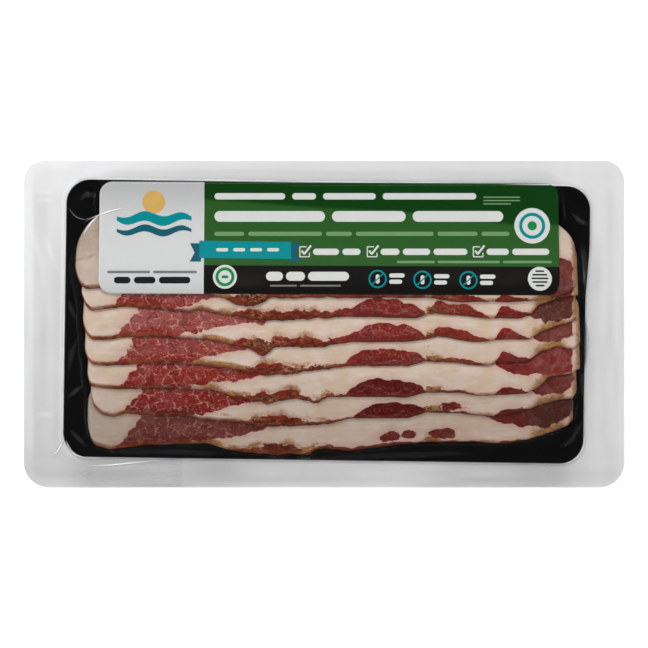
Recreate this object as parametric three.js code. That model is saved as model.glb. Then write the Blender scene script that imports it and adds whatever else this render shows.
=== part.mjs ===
import * as THREE from "three";

// A flat pouch of shingled bacon slices on a board, lying on its back.
// Millimetres. +X runs along the pack, +Y across it, +Z up off the rest face.

// Clear pouch: sealed border, back web and the low fold around the board.
const POUCH_LENGTH = 289.2;
const POUCH_WIDTH = 157.2;
const POUCH_THICKNESS = 0.6;
const POUCH_CORNER_FAR = 9.8;
const POUCH_CORNER_NEAR = 12;
const FOLD_FOOT = 3.2;
const FOLD_CREST = 0.8;
const FOLD_HEIGHT = 1.1;

// Black board under the slices, set a little askew in the pouch.
const BOARD_LENGTH = 252.2;
const BOARD_WIDTH = 133.6;
const BOARD_THICKNESS = 0.8;
const BOARD_CORNER = 11.5;
const BOARD_X = 1.3;
const BOARD_Y = 1.2;
const BOARD_TURN = THREE.MathUtils.degToRad(-0.8);

// Clear space kept between neighbouring pieces.
const GAP = 0.4;
const CLEAR = 0.3;
// How many times closer the mesh is while a strip settles.
const FINE_ALONG = 3;
const FINE_ACROSS = 3;

// Bacon slices, all cut from one side and laid like shingles.
const SLICE_WIDTH = 39.2;
const SLICE_THICKNESS = 3.3;
const SLICE_STATIONS = 24;
const SLICE_ACROSS = [0, 0.04, 0.12, 0.24, 0.37, 0.5, 0.63, 0.76, 0.88, 1];
const SLICE_SAG = 0.04; // curvature a limp slice takes up, per mm
const SLICE_EDGE = 0.34; // share of the thickness left at the very rim
const SLICE_RIM = 1.9;
const SLICE_TAPER = 9;
const SLICE_END = 4;
// left end, right end, near edge at the left, drift of that edge to the
// right, and how far its right end is cut back
const SLICES = [
  { left: -119.4, right: 120.9, near: 16.9, drift: -3.9, tip: 6.5 },
  { left: -116.2, right: 121.8, near: 6.7, drift: -2.9, tip: 9.6 },
  { left: -115.5, right: 120.9, near: -7.2, drift: -0.7, tip: 8.0 },
  { left: -114.6, right: 122.8, near: -19.6, drift: 0.5, tip: 7.4 },
  { left: -113.4, right: 122.8, near: -31.0, drift: -2.4, tip: 9.2 },
  { left: -111.9, right: 121.3, near: -43.9, drift: 0.0, tip: 8.6 },
  { left: -113.7, right: 119.9, near: -59.5, drift: 1.9, tip: 9.4 },
];
// How the near edge bends: a broad belly, a nick, and a sloping right end.
const BELLY = { at: -19.6, reach: 26.3, depth: 4.7 };
const NICK = { at: 53.5, reach: 8.6, depth: 1.7 };
const WAIST = { at: -80.7, reach: 14.3, depth: 0.6 };
const TIP = { from: 94.0, to: 115.0 };
const CORNER_NEAR_LEFT = { along: 9, across: 7.5 };
const CORNER_FAR_LEFT = { along: 22, across: 19 };
const CORNER_FAR_RIGHT = { along: 17, across: 13 };
const CORNER_NEAR_RIGHT = { along: 4, across: 4.5 };

// Printed label lying on the two uppermost slices and the board.
const LABEL_LENGTH = 220.2;
const LABEL_WIDTH = 53.8;
const LABEL_THICKNESS = 0.3;
const LABEL_CORNER = 6.2;
const LABEL_X = 2.4;
const LABEL_Y = 41.0;
const LABEL_SLOPE = -0.0045;
const LABEL_STATIONS = 26;
const LABEL_ACROSS = 11;
const LABEL_SAG = 0.03;

const group = new THREE.Group();
group.name = "bacon_pack";

const clamp01 = (t) => Math.min(1, Math.max(0, t));
const ease = (t) => clamp01(t) ** 2 * (3 - 2 * clamp01(t));
const bell = (x, { at, reach, depth }) =>
  depth * Math.exp(-(((x - at) / reach) ** 2));
const range = (n, f) => Array.from({ length: n }, (_, i) => f(i));

function addMesh(name, position, index, color, roughness) {
  const geometry = new THREE.BufferGeometry();
  geometry.setAttribute(
    "position",
    new THREE.Float32BufferAttribute(position, 3),
  );
  geometry.setIndex(index);
  geometry.computeVertexNormals();
  const material = new THREE.MeshStandardMaterial({
    color,
    roughness,
    metalness: 0,
  });
  const mesh = new THREE.Mesh(geometry, material);
  mesh.name = name;
  group.add(mesh);
}

// Outline of a rounded rectangle, anticlockwise seen from above.
function roundedOutline(length, width, corners, perCorner = 7) {
  const points = [];
  const signs = [
    [1, 1],
    [-1, 1],
    [-1, -1],
    [1, -1],
  ];
  signs.forEach(([sx, sy], c) => {
    const r = corners[c];
    for (let i = 0; i <= perCorner; i++) {
      const a = ((c + i / perCorner) * Math.PI) / 2;
      points.push([
        sx * (length / 2 - r) + r * Math.cos(a),
        sy * (width / 2 - r) + r * Math.sin(a),
      ]);
    }
  });
  return points;
}

// Solid between stacked outlines, with a fan over the first and the last.
function loft(rings) {
  const n = rings[0].length;
  const position = [];
  const index = [];
  rings.forEach((ring) => ring.forEach((p) => position.push(...p)));
  for (let r = 0; r + 1 < rings.length; r++)
    for (let i = 0; i < n; i++) {
      const j = (i + 1) % n;
      const a = r * n + i;
      const b = r * n + j;
      index.push(a, b, b + n, a, b + n, a + n);
    }
  [0, rings.length - 1].forEach((r, last) => {
    const middle = [0, 1, 2].map(
      (k) => rings[r].reduce((sum, p) => sum + p[k], 0) / n,
    );
    const m = position.length / 3;
    position.push(...middle);
    for (let i = 0; i < n; i++) {
      const a = r * n + i;
      const b = r * n + ((i + 1) % n);
      if (last) index.push(a, b, m);
      else index.push(b, a, m);
    }
  });
  return [position, index];
}

function boardOutline(offset) {
  const r = BOARD_CORNER + offset;
  const c = Math.cos(BOARD_TURN);
  const s = Math.sin(BOARD_TURN);
  return roundedOutline(
    BOARD_LENGTH + 2 * offset,
    BOARD_WIDTH + 2 * offset,
    [r, r, r, r],
  ).map(([x, y]) => [BOARD_X + c * x - s * y, BOARD_Y + s * x + c * y]);
}

const lift = (outline, z) => outline.map(([x, y]) => [x, y, z]);

// --- pouch ---------------------------------------------------------------
const pouchOutline = roundedOutline(POUCH_LENGTH, POUCH_WIDTH, [
  POUCH_CORNER_FAR,
  POUCH_CORNER_FAR,
  POUCH_CORNER_NEAR,
  POUCH_CORNER_NEAR,
]);
const foldTop = POUCH_THICKNESS + FOLD_HEIGHT;
addMesh(
  "film_pouch",
  ...loft([
    lift(pouchOutline, 0),
    lift(pouchOutline, POUCH_THICKNESS),
    lift(boardOutline(FOLD_FOOT), POUCH_THICKNESS),
    lift(boardOutline(FOLD_CREST), foldTop),
    lift(boardOutline(GAP), foldTop),
    lift(boardOutline(GAP), POUCH_THICKNESS),
  ]),
  new THREE.Color().setRGB(0.83, 0.84, 0.84, THREE.SRGBColorSpace),
  0.22,
);

// --- board ---------------------------------------------------------------
const boardUnder = POUCH_THICKNESS + GAP;
const boardTop = boardUnder + BOARD_THICKNESS;
addMesh(
  "board",
  ...loft([
    lift(boardOutline(0), boardUnder),
    lift(boardOutline(0), boardTop - 0.2),
    lift(boardOutline(-0.25), boardTop),
  ]),
  new THREE.Color().setRGB(0.07, 0.07, 0.07, THREE.SRGBColorSpace),
  0.3,
);

// --- limp strips laid over what is under them ---------------------------
const laid = [];

function topAt(x, y) {
  let z = boardTop;
  for (const strip of laid) z = Math.max(z, strip.heightAt(x, y));
  return z;
}

// Settle a limp sheet on its supports: it spans hollows and sags slightly.
function settle(xs, ys, support, sag, rounds = 700) {
  const J = xs.length;
  const K = ys[0].length;
  const z = support.map((row) => [...row]);
  for (let round = 0; round < rounds; round++)
    for (let j = 0; j < J; j++)
      for (let k = 0; k < K; k++) {
        const jl = j ? j - 1 : 1;
        const jr = j < J - 1 ? j + 1 : J - 2;
        const kl = k ? k - 1 : 1;
        const kr = k < K - 1 ? k + 1 : K - 2;
        const dx = Math.abs(xs[jr] - xs[jl]) / 2 || Math.abs(xs[jr] - xs[j]);
        const dy =
          Math.abs(ys[j][kr] - ys[j][kl]) / 2 || Math.abs(ys[j][kr] - ys[j][k]);
        const wx = 1 / dx ** 2;
        const wy = 1 / dy ** 2;
        const free =
          (wx * (z[jl][k] + z[jr][k]) + wy * (z[j][kl] + z[j][kr]) - sag) /
          (2 * wx + 2 * wy);
        z[j][k] = Math.max(support[j][k], free);
      }
  return z;
}

// Raise the flat facets wherever one would still cut into what is below.
function liftClear(xs, ys, under, parts = 5, rounds = 40) {
  const spots = [];
  for (let j = 0; j + 1 < xs.length; j++)
    for (let k = 0; k + 1 < ys[0].length; k++)
      for (let a = 0; a <= parts; a++)
        for (let b = 0; b <= parts; b++) {
          const t = a / parts;
          const f = b / parts;
          const x = (1 - t) * xs[j] + t * xs[j + 1];
          const y =
            (1 - f) * ((1 - t) * ys[j][k] + t * ys[j + 1][k]) +
            f * ((1 - t) * ys[j][k + 1] + t * ys[j + 1][k + 1]);
          const nodes = [
            [j, k, (1 - t) * (1 - f)],
            [j + 1, k, t * (1 - f)],
            [j, k + 1, (1 - t) * f],
            [j + 1, k + 1, t * f],
          ];
          spots.push({ nodes, floor: topAt(x, y) + CLEAR });
        }
  for (let round = 0; round < rounds; round++)
    for (const { nodes, floor } of spots) {
      const z = nodes.reduce((sum, [j, k, w]) => sum + w * under[j][k], 0);
      if (z >= floor) continue;
      const share = nodes.reduce((sum, n) => sum + n[2] ** 2, 0);
      for (const [j, k, w] of nodes) under[j][k] += ((floor - z) * w) / share;
    }
}

// A closed strip from its underside heights and its thickness.
function stripSolid(xs, ys, under, depth) {
  const J = xs.length;
  const K = ys[0].length;
  const position = [];
  const index = [];
  for (const side of [0, 1])
    for (let j = 0; j < J; j++)
      for (let k = 0; k < K; k++)
        position.push(xs[j], ys[j][k], under[j][k] + side * depth[j][k]);
  const at = (side, j, k) => (side * J + j) * K + k;
  const quad = (a, b, c, d) => index.push(a, b, c, a, c, d);
  for (let j = 0; j + 1 < J; j++)
    for (let k = 0; k + 1 < K; k++) {
      quad(at(1, j, k), at(1, j + 1, k), at(1, j + 1, k + 1), at(1, j, k + 1));
      quad(at(0, j, k), at(0, j, k + 1), at(0, j + 1, k + 1), at(0, j + 1, k));
    }
  for (let j = 0; j + 1 < J; j++) {
    quad(at(0, j, 0), at(0, j + 1, 0), at(1, j + 1, 0), at(1, j, 0));
    const k = K - 1;
    quad(at(0, j, k), at(1, j, k), at(1, j + 1, k), at(0, j + 1, k));
  }
  for (let k = 0; k + 1 < K; k++) {
    quad(at(0, 0, k), at(1, 0, k), at(1, 0, k + 1), at(0, 0, k + 1));
    const j = J - 1;
    quad(at(0, j, k), at(0, j, k + 1), at(1, j, k + 1), at(1, j, k));
  }
  return [position, index];
}

// Lay a strip: settle it on everything laid so far with a close mesh, build
// the solid from a wide one, and keep that as support for the next strip.
function layStrip(xs, ys, thickness, sag) {
  const mix = (a, b, t) => (1 - t) * a + t * b;
  const J = (xs.length - 1) * FINE_ALONG + 1;
  const K = (ys[0].length - 1) * FINE_ACROSS + 1;
  const split = (i, parts, count) => {
    const cell = Math.min(count - 2, Math.floor(i / parts));
    return [cell, i / parts - cell];
  };
  const fineX = range(J, (i) => {
    const [j, t] = split(i, FINE_ALONG, xs.length);
    return mix(xs[j], xs[j + 1], t);
  });
  const fineY = range(J, (i) => {
    const [j, t] = split(i, FINE_ALONG, xs.length);
    return range(K, (m) => {
      const [k, f] = split(m, FINE_ACROSS, ys[0].length);
      return mix(
        mix(ys[j][k], ys[j][k + 1], f),
        mix(ys[j + 1][k], ys[j + 1][k + 1], f),
        t,
      );
    });
  });
  const support = fineX.map((x, j) => fineY[j].map((y) => topAt(x, y) + GAP));
  const settled = settle(fineX, fineY, support, sag);
  const under = xs.map((_, j) =>
    ys[j].map((_, k) => settled[j * FINE_ALONG][k * FINE_ACROSS]),
  );
  liftClear(xs, ys, under);
  const depth = xs.map((x, j) =>
    ys[j].map((y) => thickness(x, y, ys[j][0], ys[j][ys[j].length - 1])),
  );
  const wideJ = xs.length;
  const wideK = ys[0].length;
  laid.push({
    heightAt(x, y) {
      if (x < xs[0] || x > xs[wideJ - 1]) return -Infinity;
      let j = 1;
      while (j < wideJ - 1 && xs[j] < x) j++;
      const t = (x - xs[j - 1]) / (xs[j] - xs[j - 1]);
      const row = (k) => mix(ys[j - 1][k], ys[j][k], t);
      if (y < row(0) || y > row(wideK - 1)) return -Infinity;
      let k = 1;
      while (k < wideK - 1 && row(k) < y) k++;
      const f = (y - row(k - 1)) / (row(k) - row(k - 1));
      const top = (a, b) => under[a][b] + depth[a][b];
      return mix(
        mix(top(j - 1, k - 1), top(j, k - 1), t),
        mix(top(j - 1, k), top(j, k), t),
        f,
      );
    },
  });
  return stripSolid(xs, ys, under, depth);
}

// Quarter-round cut of a corner, measured from the strip's end.
const cornerCut = (inset, { along, across }) =>
  inset >= along
    ? 0
    : across * (1 - Math.sqrt(1 - (1 - Math.max(0, inset) / along) ** 2));

function nearEdge(slice, x) {
  const course =
    slice.near +
    slice.drift * ease((x + 97.4) / 124) -
    bell(x, BELLY) +
    bell(x, NICK) +
    bell(x, WAIST);
  const tip = slice.tip * ease((x - TIP.from) / (TIP.to - TIP.from));
  return (
    course +
    tip +
    cornerCut(x - slice.left, CORNER_NEAR_LEFT) +
    cornerCut(slice.right - x, CORNER_NEAR_RIGHT)
  );
}

function farEdge(slice, x) {
  const course =
    slice.near + 0.4 * slice.drift * ease((x + 97.4) / 124) + SLICE_WIDTH;
  return (
    course -
    cornerCut(x - slice.left, CORNER_FAR_LEFT) -
    cornerCut(slice.right - x, CORNER_FAR_RIGHT)
  );
}

// The lowest slice is laid first, so that each later one rests on it.
const rimProfile = (d, rim) =>
  SLICE_EDGE + (1 - SLICE_EDGE) * Math.sqrt(1 - (1 - clamp01(d / rim)) ** 2);
const sliceParts = [];
for (let n = SLICES.length; n >= 1; n--) {
  const slice = SLICES[n - 1];
  const length = slice.right - slice.left;
  // stations crowd towards both ends, where the outline turns
  const xs = range(SLICE_STATIONS, (i) => {
    const u = i / (SLICE_STATIONS - 1);
    const even = u - (0.72 * Math.sin(2 * Math.PI * u)) / (2 * Math.PI);
    return slice.left + length * even;
  });
  const ys = xs.map((x) => {
    const low = nearEdge(slice, x);
    const high = farEdge(slice, x);
    return SLICE_ACROSS.map((s) => low + s * (high - low));
  });
  const thickness = (x, y, low, high) => {
    const end = Math.min(x - slice.left, slice.right - x);
    return (
      SLICE_THICKNESS *
      rimProfile(y - low, SLICE_RIM) *
      rimProfile(high - y, SLICE_TAPER) *
      rimProfile(end, SLICE_END)
    );
  };
  sliceParts.unshift([n, layStrip(xs, ys, thickness, SLICE_SAG)]);
}
for (const [n, solid] of sliceParts)
  addMesh(
    "bacon_slice_" + n,
    ...solid,
    new THREE.Color().setRGB(
      0.7 - 0.02 * n,
      0.52 - 0.02 * n,
      0.46 - 0.02 * n,
      THREE.SRGBColorSpace,
    ),
    0.4,
  );

// --- label ---------------------------------------------------------------
{
  const xs = range(LABEL_STATIONS, (i) => {
    const u = i / (LABEL_STATIONS - 1);
    const even = u - (0.75 * Math.sin(2 * Math.PI * u)) / (2 * Math.PI);
    return LABEL_X + LABEL_LENGTH * (even - 0.5);
  });
  const corner = { along: LABEL_CORNER, across: LABEL_CORNER };
  const ys = xs.map((x) => {
    const inset = LABEL_LENGTH / 2 - Math.abs(x - LABEL_X);
    const half = LABEL_WIDTH / 2 - cornerCut(inset, corner);
    const middle = LABEL_Y + LABEL_SLOPE * (x - LABEL_X);
    return range(
      LABEL_ACROSS,
      (k) => middle + half * ((2 * k) / (LABEL_ACROSS - 1) - 1),
    );
  });
  addMesh(
    "label",
    ...layStrip(xs, ys, () => LABEL_THICKNESS, LABEL_SAG),
    new THREE.Color().setRGB(0.16, 0.34, 0.14, THREE.SRGBColorSpace),
    0.35,
  );
}

export default group;
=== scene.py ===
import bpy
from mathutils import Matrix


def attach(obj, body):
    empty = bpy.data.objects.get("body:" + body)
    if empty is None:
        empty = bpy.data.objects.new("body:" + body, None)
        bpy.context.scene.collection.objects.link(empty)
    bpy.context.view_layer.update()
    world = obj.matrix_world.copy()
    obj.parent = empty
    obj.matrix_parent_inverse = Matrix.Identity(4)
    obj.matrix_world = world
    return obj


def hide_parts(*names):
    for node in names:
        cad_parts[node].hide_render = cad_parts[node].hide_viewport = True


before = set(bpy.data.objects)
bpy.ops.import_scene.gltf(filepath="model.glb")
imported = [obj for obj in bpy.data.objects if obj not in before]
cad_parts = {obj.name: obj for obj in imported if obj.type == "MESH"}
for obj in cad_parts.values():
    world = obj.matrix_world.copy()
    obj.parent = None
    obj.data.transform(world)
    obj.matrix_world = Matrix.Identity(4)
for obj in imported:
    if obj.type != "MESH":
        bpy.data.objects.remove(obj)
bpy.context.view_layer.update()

import math

import bpy
import numpy as np

# Everything below is worked out in millimetres and turned into metres when a
# mesh is made. +X runs along the pack, +Y across it, +Z up out of its front.

# ---------------------------------------------------------------- sizes ----
CAMERA_LENS = 150.0
CAMERA_SENSOR = 36.0
VIEW_WIDTH = 312.3
CAMERA_HEIGHT = VIEW_WIDTH / CAMERA_SENSOR * CAMERA_LENS

POUCH_LENGTH, POUCH_WIDTH = 289.2, 157.2
POUCH_CORNER_FAR, POUCH_CORNER_NEAR = 9.8, 12.0
BORDER_TOP = 0.34
FILM_CLEAR = 0.09
FILM_SAG = 0.42

BOARD_LENGTH, BOARD_WIDTH = 252.2, 133.6
BOARD_CORNER = 11.5
BOARD_X, BOARD_Y = 1.3, 1.2
BOARD_TURN = math.radians(-0.8)
BOARD_UNDER, BOARD_TOP = 0.25, 1.35

SLICE_WIDTH = 39.2
SLICE_THICKNESS = 3.3
SLICE_SAG = 0.04
SLICE_RIM = 1.2
SLICE_TAPER = 9.0
SLICE_END = 2.2
CONTACT = 0.05
SLICES = [
    dict(left=-119.4, right=120.9, near=16.9, drift=-3.9),
    dict(left=-116.2, right=121.8, near=6.7, drift=-2.9),
    dict(left=-115.5, right=120.9, near=-7.2, drift=-0.7),
    dict(left=-114.6, right=122.8, near=-19.6, drift=0.5),
    dict(left=-113.4, right=122.8, near=-31.0, drift=-2.4),
    dict(left=-111.9, right=121.3, near=-43.9, drift=0.0),
    dict(left=-113.7, right=119.9, near=-59.5, drift=1.9),
]

LABEL_LENGTH, LABEL_WIDTH = 220.2, 53.8
LABEL_THICKNESS = 0.16
LABEL_CORNER = 6.2
LABEL_X, LABEL_Y = 2.4, 41.0
LABEL_SLOPE = -0.0045
LABEL_SAG = 0.007

# One unit of the layout the meat and the print are measured in.
UNIT = 0.4777


# -------------------------------------------------------------- helpers ----
def ease(t):
    t = np.clip(t, 0.0, 1.0)
    return t * t * (3 - 2 * t)


def step(lo, hi, v):
    return ease((np.asarray(v, float) - lo) / (hi - lo))


def bell(x, at, reach, depth):
    return depth * np.exp(-(((x - at) / reach) ** 2))


def corner_cut(inset, along, across):
    q = np.clip(1 - np.maximum(inset, 0.0) / along, 0.0, 1.0)
    return across * (1 - np.sqrt(np.maximum(0.0, 1 - q * q)))


def softplus(v, width):
    return width * np.logaddexp(0.0, np.asarray(v, float) / width)


def lattice(i, j, seed):
    h = np.sin(i * 127.1 + j * 311.7 + seed * 74.7) * 43758.5453
    return 2 * (h - np.floor(h)) - 1


def noise(x, y, seed):
    """Smooth noise from -1 to 1 on a unit lattice."""
    x, y = np.broadcast_arrays(np.asarray(x, float), np.asarray(y, float))
    i, j = np.floor(x), np.floor(y)
    u, v = ease(x - i), ease(y - j)
    a = lattice(i, j, seed) * (1 - u) + lattice(i + 1, j, seed) * u
    b = lattice(i, j + 1, seed) * (1 - u) + lattice(i + 1, j + 1, seed) * u
    return a * (1 - v) + b * v


def rounded(d, rim, edge):
    return edge + (1 - edge) * np.sqrt(1 - (1 - np.clip(d / rim, 0, 1)) ** 2)


def settle(support, hx, hy, sag, rounds):
    """A limp sheet over its support: it spans hollows and sags a little."""
    z = support.copy()
    wx, wy = 1 / hx**2, 1 / hy**2
    for _ in range(rounds):
        p = np.pad(z, 1, mode="reflect")
        free = (
            wx * (p[:-2, 1:-1] + p[2:, 1:-1])
            + wy * (p[1:-1, :-2] + p[1:-1, 2:])
            - sag
        ) / (2 * (wx + wy))
        z = np.maximum(support, free)
    return z


# ---------------------------------------------------- shared height map ----
STEP = 0.5
GX = np.arange(-146.0, 146.01, STEP)
GY = np.arange(-80.0, 80.01, STEP)


def board_pull(x, y):
    """How far the board's right edge comes in below the label."""
    return 1.7 * step(40, 8, y) * step(60, 112, x)


def board_distance(x, y):
    """Signed distance to the board's outline, negative inside."""
    c, s = math.cos(BOARD_TURN), math.sin(BOARD_TURN)
    dx, dy = x + board_pull(x, y) - BOARD_X, y - BOARD_Y
    u, v = np.abs(c * dx + s * dy), np.abs(-s * dx + c * dy)
    u = u - (BOARD_LENGTH / 2 - BOARD_CORNER)
    v = v - (BOARD_WIDTH / 2 - BOARD_CORNER)
    outside = np.hypot(np.maximum(u, 0), np.maximum(v, 0))
    return outside + np.minimum(np.maximum(u, v), 0) - BOARD_CORNER


MX, MY = np.meshgrid(GX, GY, indexing="ij")
HEIGHT = np.where(board_distance(MX, MY) < 0, BOARD_TOP, BORDER_TOP)


def sample(grid, x, y):
    px = np.clip((x - GX[0]) / STEP, 0, len(GX) - 1.001)
    py = np.clip((y - GY[0]) / STEP, 0, len(GY) - 1.001)
    i, j = px.astype(int), py.astype(int)
    u, v = px - i, py - j
    return (grid[i, j] * (1 - u) + grid[i + 1, j] * u) * (1 - v) + (
        grid[i, j + 1] * (1 - u) + grid[i + 1, j + 1] * u
    ) * v


def raster(grid, xs, ys, zs):
    """Raises the height map to a strip's top."""
    inside = np.where((GX >= xs[0]) & (GX <= xs[-1]))[0]
    at = np.interp(GX[inside], xs, np.arange(len(xs)))
    for c, p in zip(inside, at):
        j = min(int(p), len(xs) - 2)
        f = p - j
        row_y = (1 - f) * ys[j] + f * ys[j + 1]
        row_z = (1 - f) * zs[j] + f * zs[j + 1]
        low = np.interp(GY, row_y, row_z, left=-9.0, right=-9.0)
        grid[c] = np.maximum(grid[c], low)


# --------------------------------------------------------------- meshes ----
def make_object(name, verts, faces, material, smooth=True):
    mesh = bpy.data.meshes.new(name)
    mesh.from_pydata((np.asarray(verts) * 0.001).tolist(), [], faces)
    mesh.update()
    if smooth:
        mesh.polygons.foreach_set("use_smooth", [True] * len(mesh.polygons))
    for m in material if isinstance(material, (list, tuple)) else [material]:
        mesh.materials.append(m)
    obj = bpy.data.objects.new(name, mesh)
    bpy.context.scene.collection.objects.link(obj)
    return obj


def set_floats(obj, **fields):
    for name, values in fields.items():
        layer = obj.data.attributes.new(name, "FLOAT", "POINT")
        layer.data.foreach_set("value", np.asarray(values, np.float32).ravel())


def closed_grid(top, bottom):
    """Vertices and faces of the closed slab between two grids of points."""
    J, K = top.shape[:2]
    verts = np.concatenate([top.reshape(-1, 3), bottom.reshape(-1, 3)])
    a = (np.arange(J - 1)[:, None] * K + np.arange(K - 1)[None, :]).ravel()
    n = J * K
    quads = [np.stack([a, a + K, a + K + 1, a + 1], 1)]
    quads.append(np.stack([a + n, a + n + 1, a + n + K + 1, a + n + K], 1))
    j = np.arange(J - 1) * K
    quads.append(np.stack([j + n, j + K + n, j + K, j], 1))
    e = j + K - 1
    quads.append(np.stack([e, e + K, e + K + n, e + n], 1))
    k = np.arange(K - 1)
    quads.append(np.stack([k, k + 1, k + 1 + n, k + n], 1))
    e = k + (J - 1) * K
    quads.append(np.stack([e + n, e + 1 + n, e + 1, e], 1))
    return verts, np.concatenate(quads).tolist()


def keep(obj, slot_name, *nodes):
    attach(obj, "root")
    if nodes:
        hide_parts(*nodes)
    return obj


# ------------------------------------------------------------- shaders ----
class Graph:
    """Short names for building a material's nodes."""

    def __init__(self, name):
        self.material = bpy.data.materials.new(name)
        self.material.use_nodes = True
        self.tree = self.material.node_tree
        self.tree.nodes.clear()
        self.out = self.add("ShaderNodeOutputMaterial")

    def add(self, kind, **inputs):
        node = self.tree.nodes.new(kind)
        for key, value in inputs.items():
            self.put(node.inputs[key.replace("_", " ")], value)
        return node

    def put(self, socket, value):
        if isinstance(value, bpy.types.NodeSocket):
            self.tree.links.new(value, socket)
        elif value is not None:
            socket.default_value = value

    def math(self, op, a, b=None, c=None, clamp=False):
        node = self.tree.nodes.new("ShaderNodeMath")
        node.operation = op
        node.use_clamp = clamp
        for socket, value in zip(node.inputs, (a, b, c)):
            self.put(socket, value)
        return node.outputs[0]

    def value(self, name):
        node = self.tree.nodes.new("ShaderNodeAttribute")
        node.attribute_name = name
        return node.outputs["Fac"]

    def place(self, scale=(1000.0, 1000.0, 1000.0)):
        coords = self.tree.nodes.new("ShaderNodeTexCoord")
        mapping = self.tree.nodes.new("ShaderNodeMapping")
        mapping.inputs["Scale"].default_value = scale
        self.tree.links.new(coords.outputs["Object"], mapping.inputs["Vector"])
        return mapping.outputs[0]

    def noise(self, where, size, detail=3.0, rough=0.55, distort=0.0):
        node = self.add(
            "ShaderNodeTexNoise",
            Vector=where,
            Scale=1.0 / size,
            Detail=detail,
            Roughness=rough,
            Distortion=distort,
        )
        return node.outputs["Fac"]

    def smooth(self, v, lo, hi, a=0.0, b=1.0):
        node = self.tree.nodes.new("ShaderNodeMapRange")
        node.interpolation_type = "SMOOTHSTEP"
        for key, value in (
            ("Value", v),
            ("From Min", lo),
            ("From Max", hi),
            ("To Min", a),
            ("To Max", b),
        ):
            self.put(node.inputs[key], value)
        return node.outputs[0]

    def mix(self, fac, a, b, blend="MIX"):
        node = self.tree.nodes.new("ShaderNodeMix")
        node.data_type = "RGBA"
        node.blend_type = blend
        node.clamp_factor = True
        self.put(node.inputs[0], fac)
        for socket, value in ((node.inputs[6], a), (node.inputs[7], b)):
            if isinstance(value, (tuple, list)) and len(value) == 3:
                value = (*value, 1.0)
            self.put(socket, value)
        return node.outputs[2]

    def bump(self, height, strength, distance, normal=None):
        node = self.add(
            "ShaderNodeBump", Height=height, Strength=strength, Distance=distance
        )
        if normal is not None:
            self.put(node.inputs["Normal"], normal)
        return node.outputs[0]

    def principled(self, **inputs):
        node = self.add("ShaderNodeBsdfPrincipled", **inputs)
        return node.outputs[0]

    def finish(self, shader):
        self.tree.links.new(shader, self.out.inputs["Surface"])
        return self.material


def srgb(r, g, b):
    c = np.array([r, g, b]) / 255.0
    lin = np.where(c <= 0.04045, c / 12.92, ((c + 0.055) / 1.055) ** 2.4)
    return tuple(float(v) for v in lin)


FAT = srgb(202, 183, 169)
FAT_PINK = srgb(193, 158, 144)
FAT_CREAM = srgb(196, 174, 152)
TAN = srgb(160, 110, 50)
BARK = srgb(122, 78, 42)
BROWN = srgb(74, 31, 14)
RUST = srgb(116, 48, 26)
MAUVE = srgb(143, 80, 75)
RED = srgb(127, 27, 21)
DEEP = srgb(82, 6, 4)
DUSK = srgb(72, 37, 29)
VEIN = srgb(204, 150, 138)


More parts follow.
